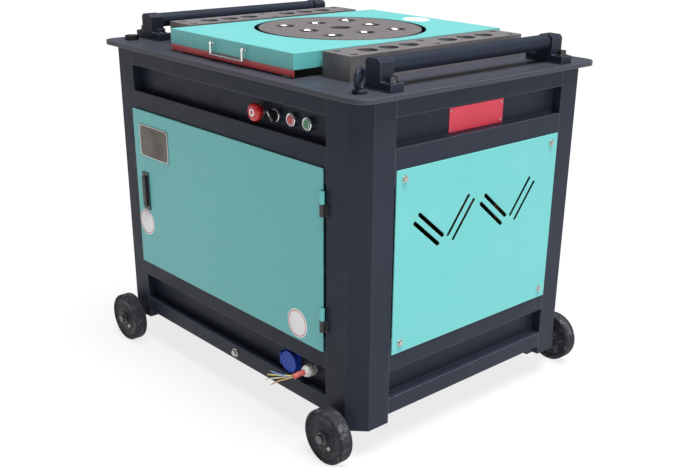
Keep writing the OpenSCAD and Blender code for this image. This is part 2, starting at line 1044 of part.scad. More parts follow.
module bearing_ring(xy, z, h, r_in, r_out) {
    translate([xy[0], xy[1], z])
        difference() {
            cylinder(r = r_out, h = h);
            translate([0, 0, -1])
                cylinder(r = r_in + fit, h = h + 2);
        }
}

module shaft_bearings() {
    color("#c8ccd2") {
        table_bearing();
        bearing_ring([0, 0], 613, 26, 30, 55);
        bearing_ring(counter_xy, 613, 20, 16, 34);
        bearing_ring(counter_xy, 776, 20, 16, 34);
        bearing_ring(input_xy, 602, 22, 14, 29.9);
        bearing_ring(input_xy, 776, 20, 14, 30);
    }
}

module motor_body() {
    fins = 30;
    color("#c9922e")
        translate([motor_xy[0], motor_xy[1], 0])
            difference() {
                union() {
                    translate([0, 0, 210])
                        cylinder(r = 88, h = 305);
                    for (i = [0 : fins - 1])
                        rotate([0, 0, i * 360 / fins])
                            translate([80, -2, 225])
                                cube([20, 4, 265]);
                    translate([0, 0, 505])
                        cylinder(r = 115, h = 25);
                    translate([-60, -130, 330])
                        cube([120, 50, 110]);
                }
                translate([0, 0, 495])
                    cylinder(r = 20, h = 40);
            }
}

module motor_fan_cover() {
    color("#c9922e")
        translate([motor_xy[0], motor_xy[1], 150])
            difference() {
                cylinder(r = 98, h = 60);
                for (turn = [0 : 45 : 315])
                    rotate([0, 0, turn])
                        translate([35, -6, -1])
                            cube([45, 12, 12]);
            }
}

module motor_stand() {
    x0 = motor_xy[0] - 130;
    y0 = motor_xy[1] - 115;
    color(charcoal) {
        difference() {
            translate([x0, y0, 530])
                cube([260, 220, 10]);
            translate([motor_xy[0], motor_xy[1], 529])
                cylinder(r = 45, h = 12);
        }
        for (x = [x0, x0 + 235], y = [y0 + 0, y0 + 195])
            translate([x, y, rail_z + 2 * sheet_t])
                cube([25, 25, 530 - rail_z - 2 * sheet_t]);
    }
}

// closed loops round both pulleys: two arcs and the straight runs between them, which stand a
// hair proud of the arcs
module belt_outline(r1, r2) {
    span = motor_xy - input_xy;
    dist = norm(span);
    a = acos((r1 - r2) / dist);
    proud = 0.05;
    run = [cos(a), sin(a)];
    start = (r1 + proud) * run;
    end = [dist, 0] + (r2 + proud) * run;
    translate(input_xy)
        rotate(atan2(span[1], span[0])) {
            circle(r = r1);
            translate([dist, 0])
                circle(r = r2);
            polygon([start, end, [end[0], -end[1]], [start[0], -start[1]]]);
        }
}

module drive_belts() {
    color("#1a1a1c")
        for (i = [0 : belt_count - 1])
            translate([0, 0, pulley_z + 2 + groove_pitch * (i + 0.5) - 4.5])
                linear_extrude(9)
                    difference() {
                        belt_outline(pulley_big_r + 3, pulley_small_r + 3);
                        belt_outline(pulley_big_r - 4, pulley_small_r - 4);
                    }
}

table_plate();
corner_posts();
front_bands();
outer_bands();
base_pan();
axle_brackets();
wheel_axles();
axle_nuts();
right_vent_panel();
left_vent_panel();
rear_panel();
panel_bolts();
side_blank_plate();
frame_hinges();
hole_strip_left();
hole_strip_right();
strip_bolts();
roller_brackets();
table_bolts();
lifting_eye();
gearbox_case();
gearbox_lid();
shaft_bearings();
motor_body();
motor_fan_cover();
motor_stand();
drive_belts();
electrical_box();
control_bezels();
socket_body();
cable_gland();
supply_sheath();
supply_cores();
ground_bolt();
front_door();
door_hinges();
door_nameplate();
latch_plate();
latch_handle();
estop_button();
selector_knob();
stop_button();
start_button();
socket_lid();
work_cover();
cover_trim();
handle_posts();
cover_handle();
work_disc();
main_shaft();
main_gear();
counter_gears();
input_shaft();
motor_rotor();
roller_left();
roller_right();
wheel_front_left();
wheel_front_right();
wheel_rear_left();
wheel_rear_right();
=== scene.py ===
"""Looks of the rebar bender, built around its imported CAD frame."""
import math
import random

import bmesh
import bpy
from mathutils import Matrix, Vector


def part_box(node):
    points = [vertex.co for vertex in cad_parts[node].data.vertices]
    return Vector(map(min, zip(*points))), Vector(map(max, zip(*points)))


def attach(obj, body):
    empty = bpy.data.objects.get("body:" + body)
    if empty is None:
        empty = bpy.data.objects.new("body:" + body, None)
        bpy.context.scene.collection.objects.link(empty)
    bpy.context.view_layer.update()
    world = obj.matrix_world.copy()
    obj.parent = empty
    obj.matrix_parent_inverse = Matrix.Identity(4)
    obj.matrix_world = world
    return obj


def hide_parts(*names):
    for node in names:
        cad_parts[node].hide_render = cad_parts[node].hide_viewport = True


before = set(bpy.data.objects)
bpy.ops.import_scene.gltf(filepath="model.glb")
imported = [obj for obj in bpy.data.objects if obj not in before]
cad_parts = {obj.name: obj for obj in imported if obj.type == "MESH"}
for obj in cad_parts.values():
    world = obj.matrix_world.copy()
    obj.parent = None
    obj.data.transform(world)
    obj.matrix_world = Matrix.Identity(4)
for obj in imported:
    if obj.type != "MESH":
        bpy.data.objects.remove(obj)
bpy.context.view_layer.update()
MM = 0.001
rng = random.Random(7)
scene = bpy.context.scene
scene.view_settings.view_transform = "Standard"

# ---------- camera ----------
FOCAL_PX = 980.2
IMAGE_W, IMAGE_H = 700, 467
SENSOR_MM = 36
CAMERA_PLACE = (1.8597, -1.6335, 1.1996)
CENTRE_PX = (362.0, 289.8)
camera_data = bpy.data.cameras.new("camera")
camera = bpy.data.objects.new("camera", camera_data)
scene.collection.objects.link(camera)
scene.camera = camera
camera_data.sensor_width = SENSOR_MM
camera_data.lens = FOCAL_PX / IMAGE_W * SENSOR_MM
camera_data.shift_x = (IMAGE_W / 2 - CENTRE_PX[0]) / IMAGE_W
camera_data.shift_y = (CENTRE_PX[1] - IMAGE_H / 2) / IMAGE_W
camera_data.clip_end = 100
forward = Vector((-0.6780, 0.6273, -0.3832)).normalized()
side = forward.cross(Vector((0, 0, 1))).normalized()
up = side.cross(forward)
roll = math.radians(0.94)
cam_x = math.cos(roll) * side + math.sin(roll) * up
cam_y = math.cos(roll) * up - math.sin(roll) * side
turn = Matrix((cam_x, cam_y, -forward)).transposed().to_4x4()
camera.matrix_world = Matrix.Translation(CAMERA_PLACE) @ turn


# ---------- material graphs ----------
class Graph:
    """A node material, with short calls for the nodes that the finishes share."""

    def __init__(self, name):
        self.material = bpy.data.materials.new(name)
        self.material.use_nodes = True
        self.tree = self.material.node_tree
        self.tree.nodes.clear()
        self.out = self.tree.nodes.new("ShaderNodeOutputMaterial")
        self.shader = self.tree.nodes.new("ShaderNodeBsdfPrincipled")
        self.tree.links.new(self.shader.outputs[0], self.out.inputs[0])
        self.coords = self.tree.nodes.new("ShaderNodeTexCoord").outputs["Object"]
        self.geometry = self.tree.nodes.new("ShaderNodeNewGeometry")

    def put(self, socket, value):
        if isinstance(value, bpy.types.NodeSocket):
            self.tree.links.new(value, socket)
        elif isinstance(value, (tuple, list)) and len(value) == 3 and socket.type == "RGBA":
            socket.default_value = (*value, 1)
        else:
            socket.default_value = value

    def stretch(self, scale, turn=(0, 0, 0), move=(0, 0, 0)):
        n = self.tree.nodes.new("ShaderNodeMapping")
        self.put(n.inputs["Vector"], self.coords)
        n.inputs["Scale"].default_value = scale
        n.inputs["Rotation"].default_value = turn
        n.inputs["Location"].default_value = move
        return n.outputs[0]

    def noise(self, scale, detail=4, roughness=0.55, vector=None, distortion=0.0):
        n = self.tree.nodes.new("ShaderNodeTexNoise")
        self.put(n.inputs["Vector"], vector or self.coords)
        n.inputs["Scale"].default_value = scale
        n.inputs["Detail"].default_value = detail
        n.inputs["Roughness"].default_value = roughness
        n.inputs["Distortion"].default_value = distortion
        return n.outputs["Fac"]

    def math(self, kind, a, b=0.0):
        n = self.tree.nodes.new("ShaderNodeMath")
        n.operation = kind
        self.put(n.inputs[0], a)
        self.put(n.inputs[1], b)
        return n.outputs[0]

    def fit(self, value, lo, hi, to_lo=0.0, to_hi=1.0):
        n = self.tree.nodes.new("ShaderNodeMapRange")
        n.clamp = True
        for socket, v in zip(n.inputs, (value, lo, hi, to_lo, to_hi)):
            self.put(socket, v)
        return n.outputs[0]

    def mix(self, fac, a, b):
        n = self.tree.nodes.new("ShaderNodeMix")
        n.data_type = "RGBA"
        self.put(n.inputs[0], fac)
        self.put(n.inputs[6], a)
        self.put(n.inputs[7], b)
        return n.outputs[2]

    def split(self, vector):
        n = self.tree.nodes.new("ShaderNodeSeparateXYZ")
        self.put(n.inputs[0], vector)
        return n.outputs

    def edges(self, radius, lo=0.02, hi=0.25):
        """(rounded normal, mask that is 1 along outer edges)"""
        n = self.tree.nodes.new("ShaderNodeBevel")
        n.samples = 6
        n.inputs["Radius"].default_value = radius
        dot = self.tree.nodes.new("ShaderNodeVectorMath")
        dot.operation = "DOT_PRODUCT"
        self.put(dot.inputs[0], n.outputs[0])
        self.put(dot.inputs[1], self.geometry.outputs["Normal"])
        return n.outputs[0], self.fit(self.math("SUBTRACT", 1.0, dot.outputs["Value"]), lo, hi)

    def bump(self, height, distance, strength=1.0, normal=None):
        n = self.tree.nodes.new("ShaderNodeBump")
        n.inputs["Distance"].default_value = distance
        n.inputs["Strength"].default_value = strength
        self.put(n.inputs["Height"], height)
        if normal is not None:
            self.put(n.inputs["Normal"], normal)
        return n.outputs[0]

    def finish(self, **values):
        for key, value in values.items():
            self.put(self.shader.inputs[key.replace("_", " ")], value)
        return self.material


def paint(name, base, dark, rough, wear_and_highlight_colour, wear=0.5, dust=0.12, dust_colour=(0.3, 0.3, 0.32),
          orange_peel=260, bump=0.00025, coat=0.3, edge=0.002, scuff=0.35, scuff_colour=None,
          specular=0.5, painted_edge_highlight=0.0):
    """Sprayed paint: slow tone drift, orange peel, scuffs, dust on top faces, worn edges, and a painted
    highlight line along every edge.
    """
    g = Graph(name)
    drift = g.fit(g.noise(2.3, 3), 0.3, 0.7)
    mottled = g.noise(24, 6, 0.62)
    tone = g.mix(g.math("MULTIPLY", drift, g.fit(mottled, 0.2, 0.8, 0.5, 1.0)), base, dark)
    scratch = g.noise(1.0, 5, 0.7, g.stretch((9, 9, 260), (0.5, 0.35, 0.2)), 0.4)
    scratch2 = g.noise(1.0, 5, 0.7, g.stretch((310, 7, 12), (0.1, 0.6, -0.5)), 0.3)
    lines = g.math("MAXIMUM", g.fit(scratch, 0.66, 0.7), g.fit(scratch2, 0.67, 0.71))
    patches = g.fit(g.noise(5.5, 4), 0.5, 0.68)
    lines = g.math("MULTIPLY", lines, g.math("MULTIPLY", patches, scuff))
    colour = g.mix(lines, tone, scuff_colour or wear_and_highlight_colour)
    top = g.fit(g.split(g.geometry.outputs["Normal"])[2], 0.6, 0.95)
    dusty = g.math("MULTIPLY", g.fit(g.noise(7, 8, 0.7), 0.35, 0.75, 0.25, 1.0), dust)
    dusty = g.math("MULTIPLY", dusty, g.fit(top, 0, 1, 0.3, 1.0))
    colour = g.mix(dusty, colour, dust_colour)
    rounded, rim = g.edges(edge)
    # painted highlight: every edge is lightened towards the wear colour, a line of light painted into
    # the paint
    colour = g.mix(g.math("MULTIPLY", rim, painted_edge_highlight), colour, wear_and_highlight_colour)
    chips = g.math("MULTIPLY", rim, g.fit(g.noise(70, 6, 0.75), 0.45, 0.62))
    chips = g.math("MULTIPLY", chips, wear)
    colour = g.mix(chips, colour, wear_and_highlight_colour)
    roughness = g.math("ADD", g.fit(mottled, 0.2, 0.8, rough - 0.07, rough + 0.09),
                       g.math("MULTIPLY", g.math("ADD", dusty, lines), 0.3))
    height = g.math("ADD", g.noise(orange_peel, 2), g.math("MULTIPLY", g.noise(38, 2), 1.2))
    height = g.math("SUBTRACT", height, g.math("MULTIPLY", g.math("MAXIMUM", lines, chips), 0.8))
    return g.finish(Base_Color=colour, Roughness=roughness, Normal=g.bump(height, bump, 1.0, rounded),
                    Coat_Weight=coat, Coat_Roughness=0.25, Specular_IOR_Level=specular)


def metal(name, base, dark, rough, stretch=(1, 1, 1), turn=(0, 0, 0), grain=420, bump=0.00006,
          stain=0.4, stain_colour=(0.09, 0.07, 0.065), edge=0.0012, rings=0.0, metallic=1.0):
    """Bare metal: brushed or turned grain, tarnish in patches, bright rubbed edges."""
    g = Graph(name)
    brushed = g.noise(grain, 4, 0.7, g.stretch(stretch, turn))
    cloud = g.noise(9, 8, 0.68)
    tone = g.mix(g.fit(brushed, 0.3, 0.7), dark, base)
    stained = g.math("MULTIPLY", g.fit(cloud, 0.48, 0.68), stain)
    specks = g.fit(g.noise(160, 5, 0.75), 0.6, 0.72)
    stained = g.math("MAXIMUM", stained, g.math("MULTIPLY", specks, stain * 0.8))
    colour = g.mix(stained, tone, stain_colour)
    rounded, rim = g.edges(edge)
    bright = tuple(min(1.0, v * 1.7) for v in base)
    colour = g.mix(g.math("MULTIPLY", rim, g.fit(g.noise(45, 4), 0.3, 0.6, 0.2, 0.9)), colour, bright)
    height = brushed
    if rings:
        x, y = g.split(g.coords)[:2]
        radius = g.math("SQRT", g.math("ADD", g.math("MULTIPLY", x, x), g.math("MULTIPLY", y, y)))
        groove = g.math("SINE", g.math("MULTIPLY", g.math("ADD", radius, g.math(
            "MULTIPLY", g.noise(6, 2), 0.002)), rings))
        height = g.math("ADD", brushed, g.math("MULTIPLY", groove, 0.35))
    roughness = g.math("ADD", g.fit(brushed, 0.2, 0.8, rough - 0.08, rough + 0.08),
                       g.math("MULTIPLY", stained, 0.35))
    return g.finish(Base_Color=colour, Roughness=roughness, Metallic=metallic,
                    Normal=g.bump(height, bump, 1.0, rounded))


def plastic(name, base, dark, rough, grain=700, bump=0.00008, coat=0.0, edge=0.0008, dust=0.08,
            specular=0.45):
    """Moulded plastic: fine mould texture, slight tone drift, rubbed edges, a trace of dust."""
    g = Graph(name)
    cloud = g.noise(18, 5)
    tone = g.mix(g.fit(cloud, 0.3, 0.7), base, dark)
    rounded, rim = g.edges(edge)
    pale = tuple(min(1.0, v * 1.5 + 0.03) for v in base)
    colour = g.mix(g.math("MULTIPLY", rim, g.fit(g.noise(120, 4), 0.4, 0.65, 0.0, 0.6)), tone, pale)
    grime = g.math("MULTIPLY", g.fit(g.noise(55, 6, 0.7), 0.5, 0.75), dust)
    colour = g.mix(grime, colour, (0.25, 0.24, 0.22))
    roughness = g.fit(g.noise(60, 4), 0.2, 0.8, rough - 0.06, rough + 0.08)
    return g.finish(Base_Color=colour, Roughness=roughness, Coat_Weight=coat,
                    Specular_IOR_Level=specular,
                    Normal=g.bump(g.noise(grain, 3), bump, 1.0, rounded))


def tyre(name):
    """Solid rubber tyre: grey scuffs on the tread, and a painted highlight along its edges."""
    g = Graph(name)
    scuffed = g.fit(g.noise(34, 9, 0.78, distortion=0.8), 0.52, 0.66)
    colour = g.mix(g.math("MULTIPLY", scuffed, 0.6), (0.017, 0.018, 0.024), (0.20, 0.20, 0.215))
    crumbs = g.noise(330, 5, 0.8)
    rounded, rim = g.edges(0.002)
    # painted highlight: the tyre's edges are lightened grey, standing in for light on its chamfers
    colour = g.mix(g.math("MULTIPLY", rim, 0.25), colour, (0.16, 0.16, 0.175))
    roughness = g.fit(crumbs, 0.2, 0.8, 0.6, 0.85)
    return g.finish(Base_Color=colour, Roughness=roughness, Specular_IOR_Level=0.25,
                    Normal=g.bump(g.math("ADD", crumbs, g.noise(60, 3)), 0.0005, 0.8, rounded))


CHIP_STEEL = (0.32, 0.32, 0.34)
# the charcoal, table and teal paints carry a painted highlight line along their edges
charcoal = paint("charcoal_paint", (0.018, 0.0235, 0.039), (0.013, 0.017, 0.029), 0.42,
                 (0.16, 0.17, 0.20), wear=0.45, dust=0.035, dust_colour=(0.18, 0.19, 0.22),
                 orange_peel=190, bump=0.0004, coat=0.0, specular=0.16, scuff=0.22, painted_edge_highlight=0.7,
                 edge=0.0028)
table_paint = paint("table_paint", (0.040, 0.044, 0.060), (0.028, 0.031, 0.044), 0.36,
                    (0.24, 0.25, 0.28), wear=0.7, dust=0.10, dust_colour=(0.16, 0.17, 0.20),
                    orange_peel=120, bump=0.0006, coat=0.05, specular=0.25, scuff=0.6, painted_edge_highlight=0.45)
teal = paint("teal_paint", (0.122, 0.50, 0.495), (0.108, 0.465, 0.46), 0.32, (0.42, 0.72, 0.70),
             wear=0.5, dust=0.16, dust_colour=(0.42, 0.60, 0.62), coat=0.15, specular=0.35, scuff=0.07,
             scuff_colour=(0.30, 0.66, 0.64), painted_edge_highlight=0.45)
red_paint = paint("red_paint", (0.62, 0.028, 0.038), (0.54, 0.024, 0.032), 0.35,
                  (0.5, 0.3, 0.28), wear=0.7, dust=0.08, coat=0.4)
cast_paint = paint("gear_paint", (0.12, 0.2, 0.15), (0.09, 0.15, 0.11), 0.5, CHIP_STEEL, wear=0.6,
                   dust=0.3, orange_peel=90, bump=0.001, coat=0.1)
gold_paint = paint("motor_gold", (0.90, 0.46, 0.05), (0.75, 0.34, 0.04), 0.4, (0.5, 0.4, 0.3),
                   wear=0.6, dust=0.12, orange_peel=110, bump=0.0006, coat=0.2)
grey_coat = paint("grey_box", (0.35, 0.37, 0.4), (0.3, 0.32, 0.35), 0.5, (0.5, 0.5, 0.5), dust=0.15)
black_enamel = paint("black_metal", (0.014, 0.015, 0.019), (0.010, 0.011, 0.014), 0.38,
                     (0.3, 0.3, 0.31), wear=0.8, dust=0.1, edge=0.001, coat=0.2)
strip_steel = metal("strip_steel", (0.235, 0.222, 0.232), (0.165, 0.155, 0.162), 0.42, (30, 1.5, 30),
                    grain=26, bump=0.00015, stain=0.6, stain_colour=(0.10, 0.092, 0.098),
                    metallic=0.3)
disc_steel = metal("disc_steel", (0.20, 0.185, 0.192), (0.15, 0.138, 0.145), 0.45, (1, 1, 1), grain=150,
                   bump=0.0002, stain=0.5, stain_colour=(0.12, 0.108, 0.112), rings=2600.0,
                   metallic=0.3)
bright_steel = metal("bright_steel", (0.62, 0.61, 0.6), (0.45, 0.44, 0.43), 0.22, grain=500, stain=0.2)
machined = metal("machined_steel", (0.42, 0.43, 0.45), (0.3, 0.31, 0.33), 0.35, (1, 1, 30), grain=90,
                 stain=0.3, stain_colour=(0.12, 0.09, 0.06))
zinc = metal("zinc", (0.58, 0.58, 0.55), (0.42, 0.42, 0.40), 0.34, grain=240, stain=0.3,
             stain_colour=(0.3, 0.27, 0.2))
dull_zinc = metal("dull_zinc", (0.16, 0.16, 0.17), (0.09, 0.09, 0.10), 0.36, grain=240, stain=0.5,
                  stain_colour=(0.04, 0.04, 0.045))
chrome = metal("chrome", (0.85, 0.86, 0.87), (0.75, 0.76, 0.77), 0.14, grain=900, bump=0.00002,
               stain=0.12, stain_colour=(0.4, 0.4, 0.4))
bolt_steel = metal("bolt_steel", (0.075, 0.077, 0.085), (0.045, 0.046, 0.052), 0.42, grain=300,
                   stain=0.4, stain_colour=(0.05, 0.04, 0.04))
plate_metal = metal("nameplate_metal", (0.17, 0.145, 0.13), (0.12, 0.10, 0.09), 0.4, (2, 60, 2),
                    grain=30, bump=0.00004, stain=0.5, stain_colour=(0.075, 0.065, 0.06))
copper = metal("copper", (0.75, 0.36, 0.2), (0.6, 0.27, 0.14), 0.3, grain=800)
tyre_rubber = tyre("tyre_rubber")
hub_black = plastic("hub_black", (0.013, 0.015, 0.022), (0.010, 0.011, 0.016), 0.45,
                    dust=0.12, specular=0.2)
belt_rubber = plastic("belt_rubber", (0.014, 0.014, 0.015), (0.02, 0.02, 0.021), 0.7, bump=0.0002)
blue_plastic = plastic("blue_plastic", (0.018, 0.075, 0.48), (0.014, 0.055, 0.38), 0.38, specular=0.2)
white_plastic = plastic("white_plastic", (0.78, 0.77, 0.74), (0.7, 0.69, 0.66), 0.4)
red_plastic = plastic("red_plastic", (0.62, 0.012, 0.02), (0.52, 0.010, 0.016), 0.28, coat=0.3)
green_plastic = plastic("green_plastic", (0.012, 0.26, 0.10), (0.010, 0.2, 0.08), 0.3, coat=0.3)
black_plastic = plastic("black_plastic", (0.013, 0.013, 0.015), (0.018, 0.018, 0.02), 0.4)
plate_red = plastic("plate_red", (0.82, 0.05, 0.095), (0.74, 0.045, 0.085), 0.42, grain=300)
sheath_red = plastic("sheath_red", (0.62, 0.14, 0.12), (0.5, 0.1, 0.09), 0.5)
vinyl = plastic("white_vinyl", (0.92, 0.92, 0.94), (0.88, 0.88, 0.91), 0.45, grain=200, dust=0.12)
seal_rubber = plastic("seal_rubber", (0.02, 0.02, 0.021), (0.03, 0.03, 0.031), 0.75)
NODE_MATERIALS = {
    charcoal: "corner_posts front_bands outer_bands base_pan axle_brackets roller_brackets "
              "lifting_eye motor_stand roller_left roller_right",
    table_paint: "table_plate",
    teal: "right_vent_panel left_vent_panel rear_panel front_door door_hinges work_cover",
    strip_steel: "hole_strip_left hole_strip_right wheel_axles",
    disc_steel: "work_disc",
    machined: "main_shaft main_gear counter_gears input_shaft motor_rotor shaft_bearings",
    zinc: "panel_bolts ground_bolt",
    dull_zinc: "axle_nuts",
    chrome: "control_bezels handle_posts cover_handle",
    tyre_rubber: "wheel_front_left wheel_front_right wheel_rear_left wheel_rear_right",
    bolt_steel: "strip_bolts table_bolts",
    black_enamel: "frame_hinges latch_plate",
    red_paint: "cover_trim",
    plate_red: "side_blank_plate",
    plate_metal: "door_nameplate",
    cast_paint: "gearbox_case gearbox_lid",
    gold_paint: "motor_body motor_fan_cover",
    belt_rubber: "drive_belts",
    grey_coat: "electrical_box",
    blue_plastic: "socket_body socket_lid",
    white_plastic: "cable_gland",
    sheath_red: "supply_sheath",
    red_plastic: "estop_button stop_button",
    green_plastic: "start_button",
    black_plastic: "selector_knob latch_handle",
}
for material, names in NODE_MATERIALS.items():
    for name in names.split():
        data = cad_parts[name].data
        data.materials.clear()
        data.materials.append(material)


# ---------- mesh helpers ----------
def add_piece(name, bm, body, material, smooth=35):
    bmesh.ops.recalc_face_normals(bm, faces=bm.faces)
    mesh = bpy.data.meshes.new(name)
    bm.to_mesh(mesh)
    bm.free()
    mesh.materials.append(material)
    mesh.shade_smooth()
    piece = bpy.data.objects.new(name, mesh)
    scene.collection.objects.link(piece)
    with bpy.context.temp_override(object=piece, active_object=piece, selected_objects=[piece],
                                   selected_editable_objects=[piece]):
        bpy.ops.object.shade_smooth_by_angle(angle=math.radians(smooth))
    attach(piece, body)
    return piece


def facing(axis):
    """Rotation that takes +Z to axis."""
    return Vector((0, 0, 1)).rotation_difference(Vector(axis)).to_matrix().to_4x4()


def lathe(bm, profile, origin, axis=(0, 0, 1), segments=48, squeeze=1.0):
    """Turns (radius, height) points about axis; a radius of 0 closes the shape."""
    place = Matrix.Translation(origin) @ facing(axis) @ Matrix.Diagonal((1, squeeze, 1, 1))
    rings = []
    for r, z in profile:
        if r == 0:
            rings.append([bm.verts.new(place @ Vector((0, 0, z)))])
            continue
        rings.append([bm.verts.new(place @ Vector((r * math.cos(a), r * math.sin(a), z)))
                      for a in (2 * math.pi * k / segments for k in range(segments))])
    for a, b in zip(rings, rings[1:]):
        for k in range(segments):
            n = (k + 1) % segments
            corners = [a[k % len(a)], a[n % len(a)], b[n % len(b)], b[k % len(b)]]
            unique = list(dict.fromkeys(corners))
            if len(unique) > 2:
                bm.faces.new(unique)


def block(bm, lo, hi, bevel=0.0, place=None, segments=2):
    """A box with rounded edges."""
    lo, hi = Vector(lo), Vector(hi)
    made = bmesh.ops.create_cube(bm, size=1)["verts"]
    for v in made:
        v.co = Vector((lo[i] + (v.co[i] + 0.5) * (hi[i] - lo[i]) for i in range(3)))
    if bevel:
        rims = {e for v in made for e in v.link_edges}
        made = bmesh.ops.bevel(bm, geom=list(rims), offset=bevel, segments=segments, affect="EDGES",
                               profile=0.6)["verts"] + [v for v in made if v.is_valid]
    if place is not None:
        for v in {v for v in made if v.is_valid}:
            v.co = place @ v.co


def tube(bm, points, radius, sides=10, wobble=0.0):
    """A round bar along points; wobble swells and shrinks it like a weld bead."""
    points = [Vector(p) for p in points]
    rings = []
    reference = Vector((0, 0, 1))
    for i, p in enumerate(points):
        run = (points[min(i + 1, len(points) - 1)] - points[max(i - 1, 0)]).normalized()
        if abs(run.dot(reference)) > 0.95:
            reference = Vector((1, 0, 0))
        across = run.cross(reference).normalized()
        other = across.cross(run)
        r = radius * (1 + wobble * (0.5 * math.sin(i * 2.1) + rng.uniform(-0.5, 0.5)))
        rings.append([bm.verts.new(p + r * (math.cos(a) * across + math.sin(a) * other))
                      for a in (2 * math.pi * k / sides for k in range(sides))])
    for a, b in zip(rings, rings[1:]):
        for k in range(sides):
            n = (k + 1) % sides
            bm.faces.new((a[k], a[n], b[n], b[k]))
    bm.faces.new(rings[0])
    bm.faces.new(rings[-1])


def between(a, b, steps):
    a, b = Vector(a), Vector(b)
    return [a + (b - a) * (k / steps) for k in range(steps + 1)]


# ---------- supply cores ----------
SHEATH_END = Vector((303, -398, 162)) * MM
CORE_ENDS = [(238, -424, 150), (246, -420, 160), (234, -426, 136), (252, -424, 130)]
CORE_LEAD = Vector((-0.5, -1.9, -0.5)) * MM
CORE_SIDES = [(0, 0, 2), (0, 0, -2), (-2, 1, 0), (2, -1, 0)]
CORE_COLOURS = [(0.62, 0.54, 0.16), (0.16, 0.28, 0.58), (0.80, 0.74, 0.55), (0.62, 0.36, 0.15)]
CORE_R = 1.6 * MM
CORE_SAG = Vector((0, -9, 3)) * MM
WIRE_R = 0.8 * MM
for i, (end, offset) in enumerate(zip(CORE_ENDS, CORE_SIDES)):
    start = SHEATH_END + CORE_LEAD + Vector(offset) * MM
    end = Vector(end) * MM
    path = [start + (end - start) * s + CORE_SAG * math.sin(math.pi * s)
            for s in (k / 20 for k in range(21))]
    bm = bmesh.new()
    tube(bm, path, CORE_R, 12)
    colour = CORE_COLOURS[i]
    core = add_piece(f"supply_core_{i + 1}", bm, "cabinet",
                     plastic(f"core_{i + 1}", colour, tuple(v * 0.8 for v in colour), 0.38))
    bm = bmesh.new()
    run = (path[-1] - path[-2]).normalized()
    tube(bm, between(path[-1] - run * 2 * MM, path[-1] + run * 6 * MM, 4), WIRE_R, 10, 0.1)
    tip = add_piece(f"core_tip_{i + 1}", bm, "cabinet", copper)
    if i == 0:
        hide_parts("supply_cores")

# soft lip round the cut end of the sheath
bm = bmesh.new()
sheath_run = Vector((-2, -8, -2)).normalized()
lathe(bm, [(0.0052, 0.0), (0.0066, 0.0), (0.0069, 0.0010), (0.0068, 0.0026), (0.0060, 0.0034),
           (0.0050, 0.0024), (0.0048, 0.0006)], SHEATH_END, sheath_run, 32)
add_piece("sheath_lip", bm, "cabinet", sheath_red)

# grip ribs round the cap of the gland
gland_lo, gland_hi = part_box("cable_gland")
gland = (gland_lo + gland_hi) / 2
bm = bmesh.new()
RIBS = 14
gland_end = Matrix.Translation((gland.x, gland_lo.y, gland.z))
for k in range(RIBS):
    around = gland_end @ Matrix.Rotation(2 * math.pi * k / RIBS, 4, "Y")
    block(bm, (0.0135, 0.0095, -0.0010), (0.0148, 0.0225, 0.0010), 0.0004, around)
add_piece("gland_ribs", bm, "cabinet", white_plastic)

# ---------- door details ----------
door_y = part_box("front_door")[0].y


def sticker(name, x, z, r):
    bm = bmesh.new()
    lathe(bm, [(0, 0.0005), (r - 0.0006, 0.0005), (r, 0.0002), (r, 0)], (x, door_y, z), (0, -1, 0), 64)
    add_piece(name, bm, "door", vinyl)
    bm = bmesh.new()
    lathe(bm, [(r * 0.86, 0.0004), (r * 0.86, 0.0007), (r * 0.92, 0.0007), (r * 0.92, 0.0004)],
          (x, door_y, z), (0, -1, 0), 64)
    add_piece(name + "_ring", bm, "door", red_paint)


STICKER_R = 0.0345
sticker("door_sticker_low", 0.283, 0.280, STICKER_R)
sticker("door_sticker_high", -0.349, 0.358, STICKER_R)

plate_lo, plate_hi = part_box("door_nameplate")
bm = bmesh.new()
y0 = plate_lo.y
edge_w = 0.0025
RIVET_INSET = 0.006
for lo, hi in (((plate_lo.x, plate_lo.z), (plate_hi.x, plate_lo.z + edge_w)),
               ((plate_lo.x, plate_hi.z - edge_w), (plate_hi.x, plate_hi.z)),
               ((plate_lo.x, plate_lo.z), (plate_lo.x + edge_w, plate_hi.z)),
               ((plate_hi.x - edge_w, plate_lo.z), (plate_hi.x, plate_hi.z))):
    block(bm, (lo[0], y0 - 0.0006, lo[1]), (hi[0], y0 + 0.0004, hi[1]), 0.0003)
for x in (plate_lo.x + RIVET_INSET, plate_hi.x - RIVET_INSET):
    for z in (plate_lo.z + RIVET_INSET, plate_hi.z - RIVET_INSET):
        lathe(bm, [(0, 0.0016), (0.0012, 0.0014), (0.0024, 0.0006), (0.0026, 0)],
              (x, y0, z), (0, -1, 0), 20)
add_piece("nameplate_rim", bm, "door", bright_steel)

# ---------- blank plate, cover label ----------
red_lo, red_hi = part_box("side_blank_plate")
bm = bmesh.new()
for y in (red_lo.y + RIVET_INSET, red_hi.y - RIVET_INSET):
    for z in (red_lo.z + RIVET_INSET, red_hi.z - RIVET_INSET):
        lathe(bm, [(0, 0.0015), (0.0014, 0.0013), (0.0026, 0.0004), (0.0028, 0)],
              (red_hi.x, y, z), (1, 0, 0), 20)
add_piece("blank_plate_rivets", bm, "cabinet", zinc)

cover_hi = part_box("work_cover")[1]
bm = bmesh.new()
lathe(bm, [(0, 0.0005), (0.0375, 0.0005), (0.038, 0)], (0.0, 0.265, cover_hi.z), (0, 0, 1), 64, 0.85)
add_piece("cover_label", bm, "cover", vinyl)

